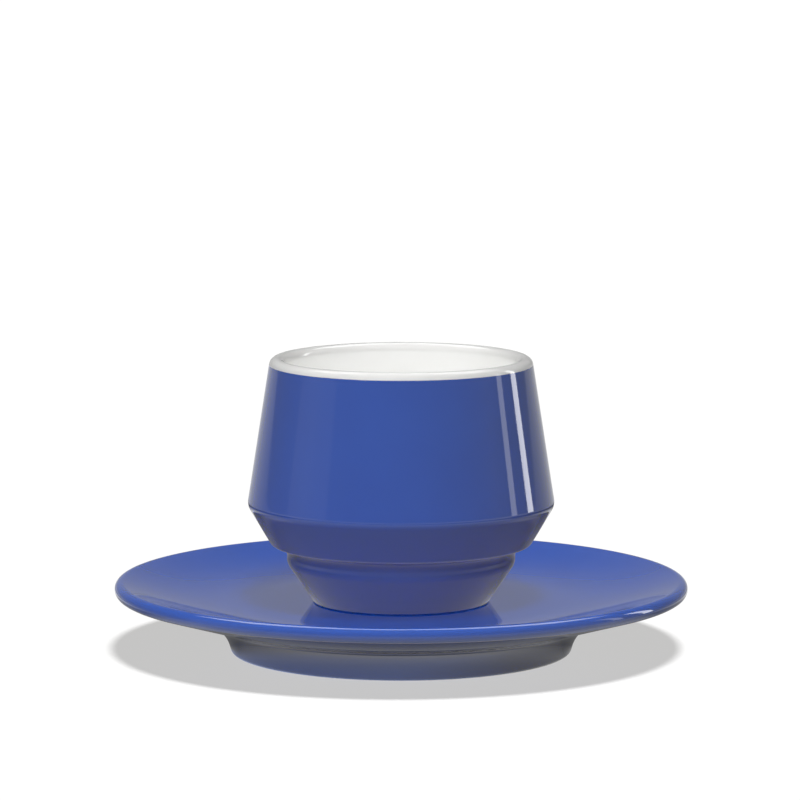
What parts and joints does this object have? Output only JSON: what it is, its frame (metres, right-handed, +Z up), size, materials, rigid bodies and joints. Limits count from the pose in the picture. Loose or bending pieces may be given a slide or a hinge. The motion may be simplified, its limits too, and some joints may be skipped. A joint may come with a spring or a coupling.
{
  "type": "cortado cup and saucer",
  "caption": "Cup without a handle, stepped in below a sharp shoulder so that it stacks, blue outside and white inside, standing on a blue dished saucer with a ring foot.",
  "frame": {"origin": "on the common axis of the cup and the saucer, on the table under the saucer's foot", "axes": "+Z up along the common axis; the part is a body of revolution, so +X and +Y are any two level directions at right angles"},
  "size_m": [0.14, 0.14, 0.0723],
  "materials": {
    "bare_clay": "unglazed, matt",
    "blue_glaze": "gloss",
    "white_glaze": "gloss"
  },
  "bodies": {
    "saucer": {"saucer_body": "bare_clay", "saucer_glaze": "blue_glaze", "saucer_base_glaze": "blue_glaze"},
    "cup": {"cup_body": "bare_clay", "cup_outer_glaze": "blue_glaze", "cup_inner_glaze": "white_glaze", "cup_base_glaze": "blue_glaze"}
  },
  "joints": [
    {"name": "cup_lift", "type": "slide", "parent": "saucer", "child": "cup", "axis": [0, 0, 1], "range_m": [0, 0.08]}
  ]
}
